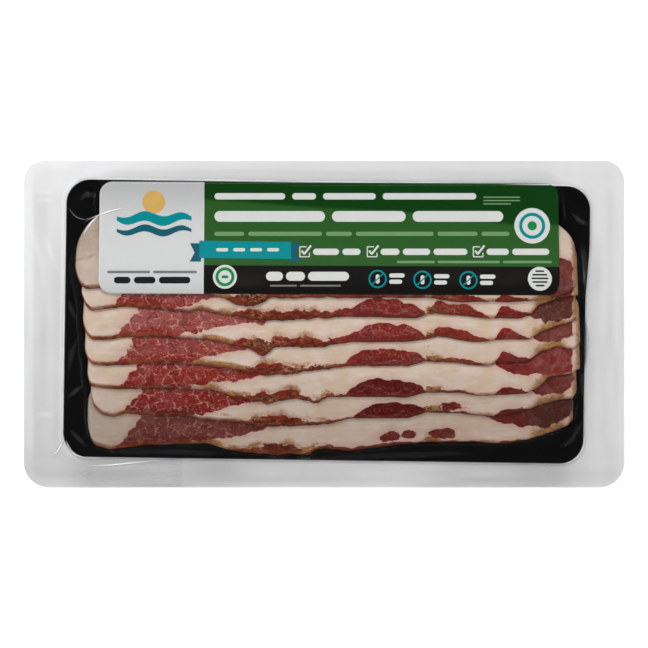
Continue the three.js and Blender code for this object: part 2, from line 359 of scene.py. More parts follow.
def bacon_material():
    g = Graph("bacon")
    at = g.place()
    lean, near = g.value("lean"), g.value("near")
    tan, char = g.value("tan"), g.value("char")
    deep, dusk = g.value("deep"), g.value("dusk")
    bundle = g.value("bundle")

    lump = g.noise(at, 3.0, 3.0)
    fine = g.noise(at, 0.9, 3.0)
    grain = g.noise(at, 0.35, 2.0)

    # bundles of muscle: rounded cells that scallop the border of the lean
    cell_at = g.place((800.0, 1000.0, 1000.0))
    warp = g.add("ShaderNodeTexNoise", Vector=cell_at, Scale=0.5, Detail=3.0)
    bent = g.tree.nodes.new("ShaderNodeVectorMath")
    bent.operation = "MULTIPLY_ADD"
    g.put(bent.inputs[0], warp.outputs["Color"])
    bent.inputs[1].default_value = (2.6, 2.6, 0.0)
    curl = g.add("ShaderNodeTexNoise", Vector=cell_at, Scale=1.7, Detail=2.0)
    curled = g.tree.nodes.new("ShaderNodeVectorMath")
    curled.operation = "MULTIPLY_ADD"
    g.put(curled.inputs[0], curl.outputs["Color"])
    curled.inputs[1].default_value = (1.5, 1.5, 0.0)
    g.put(curled.inputs[2], cell_at)
    g.put(bent.inputs[2], curled.outputs[0])

    def cells(feature, size):
        node = g.tree.nodes.new("ShaderNodeTexVoronoi")
        node.voronoi_dimensions = "2D"
        node.feature = feature
        g.put(node.inputs["Vector"], bent.outputs[0])
        node.inputs["Scale"].default_value = 1.0 / size
        return node

    core = cells("F1", 3.9)
    scallop = g.math("MULTIPLY", g.math("SUBTRACT", 0.42, core.outputs["Distance"]), bundle)
    field = g.math("MULTIPLY_ADD", scallop, 3.4, lean)
    field = g.math("MULTIPLY_ADD", g.math("SUBTRACT", lump, 0.5), 1.0, field)
    field = g.math("MULTIPLY_ADD", g.math("SUBTRACT", fine, 0.5), 0.7, field)
    shred = g.noise(g.place((520.0, 1000.0, 1000.0)), 1.7, 4.0, 0.65)
    field = g.math("MULTIPLY_ADD", g.math("MULTIPLY", g.math("SUBTRACT", shred, 0.5), char), 6.0, field)
    meat = g.smooth(field, -0.16, 0.16)

    # fat: cream with pink near the lean
    wide = g.noise(at, 12.0, 2.0)
    fat = g.mix(g.smooth(wide, 0.36, 0.66), FAT, FAT_CREAM)
    pink = g.smooth(g.math("MULTIPLY_ADD", fine, 2.4, lean), -2.4, 1.4)
    fat = g.mix(g.math("MULTIPLY", pink, 0.8), fat, FAT_PINK)
    soft = g.noise(g.place((300.0, 1000.0, 1000.0)), 2.2, 3.0)
    fat = g.mix(g.math("MULTIPLY", g.smooth(soft, 0.52, 0.74), 0.35), fat, (0.70, 0.61, 0.52))
    fat = g.mix(g.math("MULTIPLY", g.smooth(soft, 0.46, 0.28), 0.30), fat, (0.46, 0.33, 0.26))

    # browned outside of the fat, with painted shade darkening the fat along every near edge
    crust_tone = g.noise(at, 2.4, 4.0, 0.65)
    ragged = g.math("MULTIPLY_ADD", g.math("SUBTRACT", fine, 0.5), 1.3, tan)
    toast = g.mix(g.smooth(crust_tone, 0.42, 0.64), BARK, TAN)
    plain = g.smooth(ragged, 0.15, 1.35)
    flake = g.smooth(g.math("MULTIPLY_ADD", g.math("SUBTRACT", shred, 0.5), 3.0, ragged), 0.45, 0.95)
    fat = g.mix(g.math("MULTIPLY", g.math("MULTIPLY_ADD", char, g.math("SUBTRACT", flake, plain), plain), 0.9), fat, toast)

    # lean
    red = g.math("MULTIPLY_ADD", g.math("SUBTRACT", lump, 0.5), 1.1, deep)
    muscle = g.mix(g.smooth(red, 0.0, 0.5), MAUVE, RED)
    muscle = g.mix(g.smooth(red, 0.5, 1.1), muscle, DEEP)
    muscle = g.mix(dusk, muscle, DUSK)
    tone = g.add("ShaderNodeSeparateColor", Color=core.outputs["Color"]).outputs[0]
    muscle = g.mix(g.math("MULTIPLY", g.smooth(tone, 0.55, 1.0), 0.35), muscle, (0.09, 0.012, 0.010))
    muscle = g.mix(g.math("MULTIPLY", g.smooth(tone, 0.4, 0.0), g.math("MULTIPLY", bundle, 0.18)), muscle, (0.36, 0.14, 0.13))
    fibre = g.noise(g.place((1000.0, 1900.0, 1000.0)), 1.1, 4.0, 0.6)
    muscle = g.mix(g.math("MULTIPLY", g.smooth(fibre, 0.54, 0.74), g.math("MULTIPLY", bundle, 0.16)), muscle, VEIN)
    muscle = g.mix(g.math("MULTIPLY", g.smooth(fibre, 0.48, 0.3), 0.35), muscle, (0.07, 0.010, 0.008))

    # marbling: thin pale lines between the bundles that branch and fade
    border = cells("DISTANCE_TO_EDGE", 3.9).outputs["Distance"]
    patch = g.smooth(g.noise(at, 3.4, 3.0), 0.42, 0.66)
    breadth = g.math("MULTIPLY_ADD", patch, 0.085, 0.014)
    line = g.math("SUBTRACT", 1.0, g.math("DIVIDE", border, breadth), clamp=True)
    line = g.math("MULTIPLY", line, g.smooth(patch, 0.0, 0.35))
    twig = g.noise(cell_at, 1.9, 3.0, 0.5, 1.6)
    twig = g.smooth(g.math("ABSOLUTE", g.math("SUBTRACT", twig, 0.5)), 0.020, 0.004)
    line = g.math("MAXIMUM", line, g.math("MULTIPLY", twig, g.smooth(lump, 0.44, 0.58)))
    speck = g.smooth(g.noise(at, 0.7, 1.0), 0.70, 0.78)
    line = g.math("MAXIMUM", line, g.math("MULTIPLY", speck, 0.7))
    line = g.math("MULTIPLY", line, g.value("vein"))
    thread = g.math("MULTIPLY", g.value("thread"), g.smooth(fine, 0.38, 0.55))
    line = g.math("MAXIMUM", line, thread)
    muscle = g.mix(g.math("MULTIPLY", line, 0.8), muscle, VEIN)

    # darker, browner lean in the ragged streaks
    crust = g.noise(g.place((620.0, 1000.0, 1000.0)), 2.1, 5.0, 0.68)
    spot = g.math("MULTIPLY", char, g.smooth(wide, 0.42, 0.60))
    muscle = g.mix(g.math("MULTIPLY", g.smooth(crust, 0.42, 0.52), g.math("MULTIPLY", char, 0.65)), muscle, RUST)
    muscle = g.mix(g.math("MULTIPLY", g.smooth(crust, 0.55, 0.47), g.math("MULTIPLY", char, 0.95)), muscle, BROWN)
    muscle = g.mix(g.math("MULTIPLY", g.smooth(crust, 0.56, 0.62), g.math("MULTIPLY", spot, 0.9)), muscle, (0.36, 0.18, 0.075))

    strand = g.smooth(g.math("ABSOLUTE", g.math("SUBTRACT", shred, 0.52)), 0.030, 0.006)
    muscle = g.mix(g.math("MULTIPLY", strand, g.math("MULTIPLY", spot, 0.6)), muscle, (0.45, 0.24, 0.13))

    colour = g.mix(meat, fat, muscle)

    # thin dark line along the smoked near edge
    rim = g.math("MULTIPLY_ADD", g.math("SUBTRACT", fine, 0.5), 1.2, near)
    rust = g.mix(g.smooth(lump, 0.40, 0.62), BROWN, RUST)
    rust = g.mix(g.value("gold"), rust, g.mix(g.smooth(lump, 0.38, 0.6), srgb(86, 34, 12), srgb(128, 62, 22)))
    rim = g.math("MULTIPLY_ADD", g.value("gold"), -0.5, rim)
    colour = g.mix(g.math("MULTIPLY", g.smooth(rim, 2.1, 0.7), g.value("rim")), colour, rust)

    colour = g.mix(g.value("shade"), colour, (0.52, 0.51, 0.49), "MULTIPLY")
    relief = g.math("MULTIPLY_ADD", fibre, meat, g.math("MULTIPLY", lump, 0.8))
    normal = g.bump(relief, 0.25, 0.0004)
    return g.finish(
        g.principled(
            Base_Color=colour,
            Roughness=0.45,
            Normal=normal,
            Specular_IOR_Level=0.08,
        )
    )


def board_material():
    g = Graph("board")
    at = g.place()
    grain = g.noise(at, 9.0, 3.0)
    colour = g.mix(grain, (0.0012, 0.0012, 0.0013), (0.0048, 0.0049, 0.0050))
    normal = g.bump(g.noise(at, 2.5, 2.0), 0.05, 0.0002)
    return g.finish(g.principled(Base_Color=colour, Roughness=0.32, Normal=normal, Specular_IOR_Level=0.06))


def film_material():
    g = Graph("film")
    at = g.place()
    haze, glint = g.value("haze"), g.value("glint")
    cloud = g.noise(at, 30.0, 2.0, 0.5, 0.6)
    ripple = g.noise(g.place((1000.0, 420.0, 1000.0)), 5.0, 3.0)
    normal = g.bump(ripple, 0.10, 0.0006)

    clear = g.add("ShaderNodeBsdfTransparent", Color=(0.985, 0.985, 0.985, 1.0)).outputs[0]
    shine = g.add("ShaderNodeBsdfGlossy", Color=(1.0, 1.0, 1.0, 1.0), Roughness=0.10, Normal=normal).outputs[0]
    fresnel = g.add("ShaderNodeFresnel", IOR=1.42, Normal=normal).outputs[0]
    skin = g.add("ShaderNodeMixShader", Fac=g.math("MULTIPLY", fresnel, 0.13))
    g.put(skin.inputs[1], clear)
    g.put(skin.inputs[2], shine)

    grey = g.mix(g.smooth(cloud, 0.3, 0.7), (0.27, 0.27, 0.268), (0.33, 0.33, 0.33))
    # painted highlight: glint turns the milky colour white along the film's creases and the board's edge
    grey = g.mix(g.math("MULTIPLY", glint, 8.0, clamp=True), grey, (0.97, 0.97, 0.97))
    milk = g.add("ShaderNodeBsdfDiffuse", Color=grey).outputs[0]
    veil = g.math("MAXIMUM", haze, glint, clamp=True)
    mixed = g.add("ShaderNodeMixShader", Fac=veil)
    g.put(mixed.inputs[1], skin.outputs[0])
    g.put(mixed.inputs[2], milk)
    return g.finish(mixed.outputs[0])


def ink(name, colour, other, size=6.0, rough=0.4):
    g = Graph(name)
    fade = g.noise(g.place(), size, 2.0)
    paper = g.noise(g.place(), 0.8, 2.0)
    return g.finish(
        g.principled(
            Base_Color=g.mix(fade, colour, other),
            Roughness=rough,
            Normal=g.bump(paper, 0.04, 0.0001),
            Specular_IOR_Level=0.06,
        )
    )


def print_with_painted_light(name, lit_a, lit_b, shaded_a, shaded_b):
    """A printed field with painted light: darker along the label's far side, where it bends down, and lighter below,
    where a painted reflection of the film lies over its flat part.
    """
    g = Graph(name)
    tone = g.noise(g.place(), 8.0, 2.0)
    colour = g.mix(g.value("fade"), g.mix(tone, shaded_a, shaded_b), g.mix(tone, lit_a, lit_b))
    normal = g.bump(g.noise(g.place(), 0.8, 2.0), 0.04, 0.0001)
    return g.finish(g.principled(Base_Color=colour, Roughness=0.4, Normal=normal, Specular_IOR_Level=0.08))


BACON = bacon_material()
BOARD = board_material()
FILM = film_material()
# the label's white and green, each as a lit copy and a darker painted-shade copy
WHITE = print_with_painted_light("label white", (0.575, 0.58, 0.575), (0.555, 0.56, 0.555), (0.43, 0.43, 0.43), (0.415, 0.415, 0.415))
GREEN = print_with_painted_light("label green", (0.018, 0.085, 0.013), (0.022, 0.094, 0.017), (0.002, 0.036, 0.003), (0.003, 0.042, 0.004))
BLACK = ink("label black", srgb(21, 19, 16), srgb(17, 15, 13))
TEAL = ink("print teal", srgb(0, 134, 140), srgb(0, 126, 134))
TEAL_DARK = ink("print dark teal", srgb(18, 90, 106), srgb(14, 82, 98))
PALE = ink("print pale", srgb(206, 208, 203), srgb(198, 200, 195))
PALE_GREEN = ink("print pale green", srgb(112, 148, 102), srgb(104, 140, 95))
GREY = ink("print grey", srgb(120, 120, 120), srgb(108, 108, 108))
DARK = ink("print dark", srgb(30, 32, 34), srgb(22, 24, 26))
GOLD = ink("print gold", srgb(206, 170, 98), srgb(192, 152, 82))
LEAF = ink("print leaf", srgb(30, 132, 72), srgb(24, 120, 64))


# ---------------------------------------------------------------- board ----
def rounded_outline(length, width, corners, per_corner=10):
    points = []
    for c, (sx, sy) in enumerate(((1, 1), (-1, 1), (-1, -1), (1, -1))):
        r = corners[c]
        for i in range(per_corner + 1):
            a = (c + i / per_corner) * math.pi / 2
            points.append(
                (sx * (length / 2 - r) + r * math.cos(a), sy * (width / 2 - r) + r * math.sin(a))
            )
    return np.array(points)


def loft(rings):
    n = len(rings[0])
    verts = np.concatenate(rings)
    faces = [list(range(n))[::-1]]
    for r in range(len(rings) - 1):
        for i in range(n):
            k = (i + 1) % n
            faces.append([r * n + i, r * n + k, (r + 1) * n + k, (r + 1) * n + i])
    faces.append([(len(rings) - 1) * n + i for i in range(n)])
    return verts, faces


def board_ring(offset, z):
    r = BOARD_CORNER + offset
    flat = rounded_outline(BOARD_LENGTH + 2 * offset, BOARD_WIDTH + 2 * offset, [r] * 4, 16)
    side = np.linspace(flat[-1], flat[0], 22)[1:-1]
    flat = np.concatenate([flat, side])
    c, s = math.cos(BOARD_TURN), math.sin(BOARD_TURN)
    x, y = BOARD_X + c * flat[:, 0] - s * flat[:, 1], BOARD_Y + s * flat[:, 0] + c * flat[:, 1]
    return np.column_stack([x - board_pull(x, y), y, np.full(len(flat), z)])


verts, faces = loft(
    [
        board_ring(-0.15, BOARD_UNDER),
        board_ring(0.0, BOARD_UNDER + 0.15),
        board_ring(0.0, BOARD_TOP - 0.2),
        board_ring(-0.08, BOARD_TOP - 0.06),
        board_ring(-0.25, BOARD_TOP),
    ]
)
keep(make_object("board_sheet", verts, faces, BOARD, smooth=False), "board", "board")


# --------------------------------------------------------------- slices ----
# Near edge of each slice and lower border of the lean at its right end, in
# layout units: u runs along the pack, v down towards its near side.
NEAR = [
    [(74, 266), (76, 278), (81, 287), (88, 289.4), (100, 287.7), (150, 289), (200, 293), (226, 299),
     (236, 305), (250, 307), (262, 304), (270, 298), (430, 298), (456, 302), (518, 302), (534, 301),
     (556, 297), (568, 293), (577, 285)],
    [(80.8, 292), (82, 300), (85, 306), (91, 311), (125, 306.8), (147, 308), (188, 311.7), (200, 309),
     (229, 314.7), (254, 320), (284, 321), (315, 318), (350, 317), (417, 318.5), (428, 314), (436, 313.6),
     (460, 316), (489, 318.6), (521, 318.6), (531, 314), (539, 305), (550, 301), (557, 298.5), (579, 295)],
    [(82.2, 318), (83, 327), (85, 333.4), (91.4, 340), (106.6, 340), (121, 337.7), (152, 336.6), (200, 338.6),
     (219, 341.5), (241, 347), (248, 349), (257, 354), (264, 357), (269, 352), (275, 347.5), (286, 347), (315, 348), (350, 342.4), (408, 342), (426, 339.5), (438, 336),
     (470, 342), (485, 342), (498, 339.7), (528, 339.7), (541, 332), (559.6, 324.8), (577, 320)],
    [(84.1, 346), (84.6, 353), (86, 359.4), (92.5, 364.8), (105.5, 366), (125, 364.8), (152, 363), (200, 364.4),
     (224, 368), (254, 374), (286, 375), (315, 370), (350, 366), (408, 366), (425, 361.8), (452, 362.7),
     (480, 365.6), (491, 365.6), (496, 362), (526, 362), (541, 352), (557, 346.5), (575, 349), (581, 342)],
    [(86.6, 372), (87, 380), (89, 386.5), (103, 388.7), (121, 389.8), (152, 389), (214, 390), (232.5, 396.8),
     (252, 401.6), (267, 403.5), (296, 398.7), (317, 403.5), (328, 397.8), (350, 397), (407, 397.7), (425, 393),
     (459, 393), (480, 396), (488, 396), (528, 393.6), (539, 387.4), (550, 376.6), (570, 373.8), (581, 369)],
    [(89.8, 390), (90.5, 401), (92.5, 407), (101, 414.7), (112, 417.4), (125, 413.6), (152, 415.8), (190, 416),
     (200, 419.8), (229, 421.7), (259, 427.4), (296, 426.5), (328, 424.5), (350, 418.8), (408, 418.7), (427.5, 413),
     (461, 413.7), (479, 416), (500, 417), (520, 413), (540, 406), (560, 400), (575, 398.5), (578, 391)],
    [(86, 420), (86.5, 433), (89, 441), (94, 446.5), (109, 450.5), (147, 446), (205, 444), (229, 451),
     (259, 455), (309, 456), (317, 450), (350, 452), (390, 446.8), (427.5, 443), (474, 443), (507, 445),
     (528, 440.5), (553, 433), (570, 426), (575, 420)],
]
END_LOW = [
    [(536, 290), (556, 300), (577, 301)],
    [(529, 290), (545, 297), (557, 298.5), (575, 298)],
    [(526, 314), (535, 319), (545, 322), (560, 321), (575, 319)],
    [(526, 334), (535, 340), (548, 342), (560, 341), (573, 335)],
    [(496, 365), (501, 369), (509, 372), (519, 374), (527, 375), (573, 373)],
    [(524, 388), (530, 393), (541, 395), (560, 395.6), (570, 389), (577, 384)],
    [(478, 414), (489, 417.5), (498.6, 421.6), (507, 423.6), (521, 427.6), (549.6, 427.8), (558, 423), (573, 418)],
]


def knots(points, u, blur=1.6):
    """A smooth line through knots."""
    total, weight = 0.0, 0.0
    at, to = np.array(points, float).T
    for k in (-2, -1, 0, 1, 2):
        w = math.exp(-0.5 * k * k)
        total = total + w * np.interp(u + k * blur, at, to)
        weight += w
    return total / weight


def near_edge(s, n, x):
    u = x / UNIT + 324
    rag = step(232, 250, u) * (1 - step(330, 352, u))
    v = knots(NEAR[n], u)
    inset = np.minimum(x - s["left"], s["right"] - x)
    wave = 0.16 * noise(x / 4.0, n * 3.7, 11) + 0.10 * noise(x / 1.6, n * 5.1, 12)
    wave = wave + rag * (0.45 * noise(x / 3.4, n * 2.3, 13) + 0.35 * noise(x / 1.3, n, 14))
    return (324 - v) * UNIT + wave * step(2, 8, inset)


def far_edge(s, n, x):
    left = (24.0, 24.0) if n == 0 else (22.0, 19.0)
    right = (34.0, 20.0) if n == 0 else (17.0, 13.0)
    return (
        s["near"]
        + 0.4 * s["drift"] * ease((x + 97.4) / 124)
        + SLICE_WIDTH
        - corner_cut(x - s["left"], *left)
        - corner_cut(s["right"] - x, *right)
    )


def blob(u, d, cu, cd, ru, rd):
    """Signed depth into an ellipse, in layout units."""
    return (1 - np.hypot((u - cu) / ru, (d - cd) / rd)) * min(ru, rd)


# Per slice: where the big lean eye starts, where it leaves the near edge,
# streak, lens, right streak and small lobe heights, and its tones.
MEAT = [
    dict(eye=112, leave=176, streak=8, lens=17, lens_at=388, right=8, lobe=8, tone=0.25, dusk=0.0),
    dict(eye=111, leave=176, streak=11, lens=19, lens_at=388, right=12, lobe=13, tone=0.25, dusk=0.0),
    dict(eye=113, leave=180, streak=10, lens=19, lens_at=388, right=10, lobe=11, tone=0.20, dusk=0.0),
    dict(eye=113, leave=185, streak=8, lens=18, lens_at=387, right=4.5, lobe=9, tone=0.28, dusk=0.0),
    dict(eye=115, leave=192, streak=8, lens=18.5, lens_at=388, right=2.5, lobe=8.5, tone=0.45, dusk=0.0),
    dict(eye=120, leave=190, streak=8, lens=16, lens_at=396, right=2.0, lobe=7, tone=0.55, dusk=0.0),
    dict(eye=114, leave=196, streak=8, lens=3.5, lens_at=370, right=2.0, lobe=3, tone=0.20, dusk=0.55),
]


def meat_fields(s, m, n, x, y):
    """Lean depth and colour masks over a slice, from its layout."""
    u = x / UNIT + 324
    d = (y - near_edge(s, n, x)) / UNIT
    v = 324 - y / UNIT

    left = (u - (m["eye"] + 1.05 * d - 0.008 * d * d)) * 0.7
    rise = 0.38 * softplus(u - m["leave"], 7.0)
    eye = np.minimum(left, (d - rise) * 0.93)
    tail = np.minimum(0.28 * (u - m["eye"] + 9) - 0.9 * d, (m["eye"] + 24 - u) * 0.5)
    eye = np.maximum(eye, tail)

    ragged = 0.95 + 0.3 * noise(u / 14.0, n * 1.9, 21) + 0.16 * noise(u / 5.0, n * 2.9, 22)
    window = step(226, 246, u) * (1 - (0.2 + 0.3 * (n > 2)) * step(292, 326, u))
    if n > 2:
        window = window * (0.55 + 0.85 * step(248, 262, u) * (1 - step(292, 306, u)) + 0.3 * step(300, 312, u))
    window = window * (1 - step(345, 362, u))
    streak = m["streak"] * ragged * window - d - 2.5 * (1 - np.minimum(1, 3 * window))

    side = np.where(u < m["lens_at"], 43.0, 38.0 - (m["lens_at"] - 388))
    hump = np.clip(1 - ((u - m["lens_at"]) / side) ** 2, 0, 1) ** 0.62
    lens = m["lens"] * (hump * (1 + 0.12 * noise(u / 9.0, n * 4.1, 23))) - d - 4 * (hump <= 0)

    window = np.clip((u - 430) / 7, 0, 1) ** 0.6 * np.clip((490 - u) / 24, 0, 1) ** 0.7
    right = m["right"] * window * (1.0 + 0.15 * noise(u / 9.0, n * 1.3, 24)) - d - 3 * (window <= 0)

    window = np.clip((u - 494) / 8, 0, 1) * np.clip((531 - u) / 24, 0, 1) ** 0.7
    lobe = m["lobe"] * window * (1 + 0.15 * noise(u / 6.0, n * 3.3, 25)) - d - 3 * (window <= 0)

    low = knots(END_LOW[n], u, 1.0) + 1.2 * noise(u / 5.0, n * 2.1, 28)
    end = np.minimum((low - v) * 0.9, 573.5 - u + 1.5 * noise(v / 6.0, n, 29))
    end = np.minimum(end, (u - END_LOW[n][0][0]) * 0.5)
    if n == 0:
        end = np.minimum(end, v - 259)

    extra = np.full_like(u, -9.0)
    clump = {0: (247, 301, 21, 7), 2: (259, 349, 13, 10), 6: (274, 450, 18, 5.5)}.get(n)
    if clump:
        extra = np.maximum(extra, blob(u, v, *clump))
    if n == 5:
        extra = blob(u, d, 452, 6.5, 12, 4.5)
    if n == 6:
        for cu, cd, ru, rd in ((391, 9.5, 11, 4.8), (409, 10, 8, 4.6), (444, 8.8, 15, 5.4)):
            extra = np.maximum(extra, blob(u, d, cu, cd, ru, rd))

    if 0 < n < 6:
        for cu, cd, ru, rd in ((430, 2.5, 3.0, 4.2), (437, 1.5, 3.5, 3.0)):
            extra = np.maximum(extra, blob(u, d, cu + 1.5 * math.sin(n * 2.1), cd, ru, rd))

    lean = np.maximum.reduce([eye, streak, lens, right, lobe, end, extra]) * UNIT

    # browned fat: under the eye's right end, at the nicks and at the tip
    patchy = 0.98 + 0.8 * noise(u / 9.0, d / 4.0 + n * 5.0, 36)
    tan = 1.75 * patchy * step(172, 218, u) * (1 - step(238, 262, u)) * (1 - step(0.5, 11.0, d))
    tan = np.maximum(tan, 1.5 * step(422, 429, u) * (1 - step(437, 448, u)) * (1 - step(3, 11, d)))
    tan = np.maximum(tan, 0.9 * step(472, 486, u) * (1 - step(494, 502, u)) * (1 - step(1.5, 6, d)))
    tip = step(520, 544, u) * (1 - step(560, 572, u)) * (1 - step(1.0, 15.0, d + 2 * noise(u / 6, n, 26)))
    tan = np.maximum(tan, 1.5 * tip)
    ends = (1 - step(2, 9, u - (s["left"] / UNIT + 324))) * 0.35
    ends = np.maximum(ends, (1 - step(2.0, 8.5, (s["right"] / UNIT + 324) - u)) * 1.15)
    tan = np.maximum(tan, ends)
    # painted shade: a mild tan band along every near edge darkens the fat towards its rounded edge
    tan = np.maximum(tan, (0.42 + 0.25 * noise(u / 10.0, n * 2.6, 35)) * (1 - step(0.5, 6.0, d)))

    fringe = step(-9, -1.0, streak) * (1 - step(0.5, 4.0, streak)) * step(236, 250, u) * (1 - step(322, 346, u))
    tan = np.maximum(tan, (0.75 + 0.5 * noise(u / 8.0, n * 1.7, 34)) * fringe)

    char = step(230, 250, u) * (1 - step(318, 356, u)) * (1 - step(6, 12, d))
    char = np.maximum(char, 0.55 * step(428, 440, u) * (1 - step(474, 494, u)) * (1 - step(5, 13, d)))
    char = np.maximum(char, 0.7 * step(96, 104, u) * (1 - step(150, 172, u)) * (1 - step(1.5, 5.5, d)))

    char = np.maximum(char, step(422, 427, u) * (1 - step(434, 440, u)))
    if clump:
        char = np.maximum(char, step(-3, 1, blob(u, v, *clump)))

    deep = np.full_like(u, m["tone"])
    deep = deep + 0.35 * (1 - step(3, 12, d)) * step(110, 130, u)
    deep = deep + (0.25 + 0.45 * (n in (4, 5))) * step(340, 360, u) * (1 - step(426, 440, u))
    deep = deep + 0.30 * step(488, 496, u) * (1 - step(528, 540, u))
    deep = deep + 0.15 * step(428, 440, u) * (1 - step(474, 494, u))
    deep = deep + (0.2 - 0.85 * deep) * step(524, 540, u)

    dusk = m["dusk"] * np.ones_like(u)
    dusk = np.maximum(dusk, (0.55, 0.75, 0.92, 0.55, 0.24, 0.5, 1.0)[n] * step(500, 545, u))
    dusk = np.maximum(dusk, 0.25 * (n < 4) * step(340, 360, u) * (1 - step(426, 440, u)))

    vein = 0.95 * (1 - step(232, 258, u)) + (0.16 if n in (4, 5) else 0.35) * step(258, 340, u)
    vein = vein * (0.6 + 0.4 * step(3, 9, d)) * (0.6 if n == 6 else 1.0) * (1 - 0.45 * step(490, 520, u))
    thread = np.exp(-(((d - 3.5 - 1.6 * (n * 2 % 5) - 4.5 * noise(u / 9.0, n, 33)) / 0.55) ** 2))
    thread = (0.5, 0.45, 0.45, 0.4, 0.3, 0.25, 0.3)[n] * thread * step(350, 362, u) * (1 - step(416, 428, u))
    rim = 0.5 + 0.25 * noise(u / 14.0, n * 2.2, 27) + 0.38 * (1 - step(170, 200, u))
    rim = rim + 0.25 * step(228, 240, u) * (1 - step(330, 350, u)) - 0.18 * step(350, 372, u)
    shade = (0.12, 0.02, 0.0, 0.04, 0.13, 0.34, 0.54)[n] + 0.22 * (1 - step(100, 190, u)) * (n in (0, 6))
    shade = shade + 0.08 * (1 - step(90, 180, u)) * np.ones_like(u)
    if n == 0:
        shade = shade + 0.30 * step(260, 244, v) * step(108, 98, u)
        shade = shade + 0.55 * np.exp(-(((v - 260 + 0.24 * (u - 75)) / 1.0) ** 2)) * step(104, 98, u)
    gold = 1 - step(120, 175, u)
    bundle = 1 - 0.7 * step(182, 215, u) + 0.25 * step(490, 530, u)
    bundle = bundle * (0.35 + 0.65 * step(m["eye"] - 6, m["eye"] + 20, u))
    return dict(
        lean=lean, near=d * UNIT, gold=gold, tan=tan, char=char, deep=deep, dusk=dusk, vein=vein, rim=rim, bundle=bundle, thread=thread,
        shade=shade,
    )


SIM_J, SIM_K = 240, 42
MESH_J = 300
NEAR_STEPS = np.concatenate(
    [[0, 0.12, 0.3, 0.55, 0.85, 1.2, 1.6], np.arange(2.1, 17.0, 0.5), np.linspace(17.3, SLICE_WIDTH, 17)]
) / SLICE_WIDTH

slice_meshes = []
for n in range(len(SLICES) - 1, -1, -1):
    s, m = SLICES[n], MEAT[n]
    length = s["right"] - s["left"]
    xs = np.linspace(s["left"], s["right"], SIM_J)
    low, high = near_edge(s, n, xs), far_edge(s, n, xs)
    across = np.linspace(0, 1, SIM_K)
    ys = low[:, None] + across[None, :] * (high - low)[:, None]
    X = np.repeat(xs[:, None], SIM_K, 1)
    support = sample(HEIGHT, X, ys) + CONTACT
    hx = length / (SIM_J - 1)
    hy = ((high - low) / (SIM_K - 1))[:, None]
    under = settle(support, hx, hy, SLICE_SAG, 420)

    def depth(x, y, lo, hi):
        end = np.minimum(x - s["left"], s["right"] - x)
        return (
            SLICE_THICKNESS
            * (0.58 + 0.42 * step(0.0, 11.0, y - lo))
            * rounded(y - lo, SLICE_RIM, 0.16)
            * rounded(hi - y, SLICE_TAPER, 0.3)
            * rounded(end, SLICE_END, 0.22)
        )

    sim_top = under + depth(X, ys, low[:, None], high[:, None])
    raster(HEIGHT, xs, ys, sim_top)

    # finer mesh, crowded towards the ends and the near edge
    u = np.linspace(0, 1, MESH_J)
    fx = s["left"] + length * (u - 0.6 * np.sin(2 * np.pi * u) / (2 * np.pi))
    flo, fhi = near_edge(s, n, fx), far_edge(s, n, fx)
    fy = flo[:, None] + NEAR_STEPS[None, :] * (fhi - flo)[:, None]
    FX = np.repeat(fx[:, None], len(NEAR_STEPS), 1)
    row = np.interp(fx, xs, np.arange(SIM_J))
    j = np.minimum(row.astype(int), SIM_J - 2)
    f = (row - j)[:, None]
    lines = (1 - f) * under[j] + f * under[j + 1]
    fz = np.stack([np.interp(NEAR_STEPS, across, line) for line in lines])
    thick = depth(FX, fy, flo[:, None], fhi[:, None])
    fields = meat_fields(s, m, n, FX, fy)
    relief = 0.10 * noise(FX / 5.0, fy / 4.0, 31 + n) + 0.05 * noise(FX / 1.7, fy / 1.7, 41 + n)
    relief = relief - 0.10 * step(-0.3, 0.5, fields["lean"])
    inside = step(0.3, 2.0, fy - flo[:, None])
    top = fz + thick + relief * inside * 0.8
    lip = 0.28 * SLICE_THICKNESS * (1 - np.clip((fy - flo[:, None]) / SLICE_RIM, 0, 1)) ** 2
    bottom = np.minimum(fz + lip, top - 0.1)
    verts, faces = closed_grid(np.stack([FX, fy, top], 2), np.stack([FX, fy, bottom], 2))
    obj = make_object("slice_%d" % (n + 1), verts, faces, BACON)
    set_floats(obj, **{k: np.tile(v.ravel(), 2) for k, v in fields.items()})
    keep(obj, "bacon", "bacon_slice_%d" % (n + 1))


# ---------------------------------------------------------------- label ----
def label_point(a, b):
    """From the label's own flat measures to the pack's."""
    return LABEL_X + a, LABEL_Y + b + LABEL_SLOPE * a


A_STEPS = np.linspace(-LABEL_LENGTH / 2, LABEL_LENGTH / 2, 221)
B_STEPS = np.linspace(-LABEL_WIDTH / 2, LABEL_WIDTH / 2, 55)
LA, LB = np.meshgrid(A_STEPS, B_STEPS, indexing="ij")
lx, ly = label_point(LA, LB)
label_support = sample(HEIGHT, lx, ly) + CONTACT
LABEL_Z = settle(label_support, A_STEPS[1] - A_STEPS[0], B_STEPS[1] - B_STEPS[0], LABEL_SAG, 3000)


def label_height(a, b):
    pa = np.clip((np.asarray(a, float) - A_STEPS[0]) / (A_STEPS[1] - A_STEPS[0]), 0, len(A_STEPS) - 1.001)
    pb = np.clip((np.asarray(b, float) - B_STEPS[0]) / (B_STEPS[1] - B_STEPS[0]), 0, len(B_STEPS) - 1.001)
    i, j = pa.astype(int), pb.astype(int)
    u, v = pa - i, pb - j
    low = LABEL_Z[i, j] * (1 - u) + LABEL_Z[i + 1, j] * u
    high = LABEL_Z[i, j + 1] * (1 - u) + LABEL_Z[i + 1, j + 1] * u
    return low * (1 - v) + high * v


# layout positions of the print, in units, to the label's own measures
def along(u):
    return (u - 324) * UNIT - LABEL_X


def across_label(v):
    return (324 - v) * UNIT * 1.004 - LABEL_Y


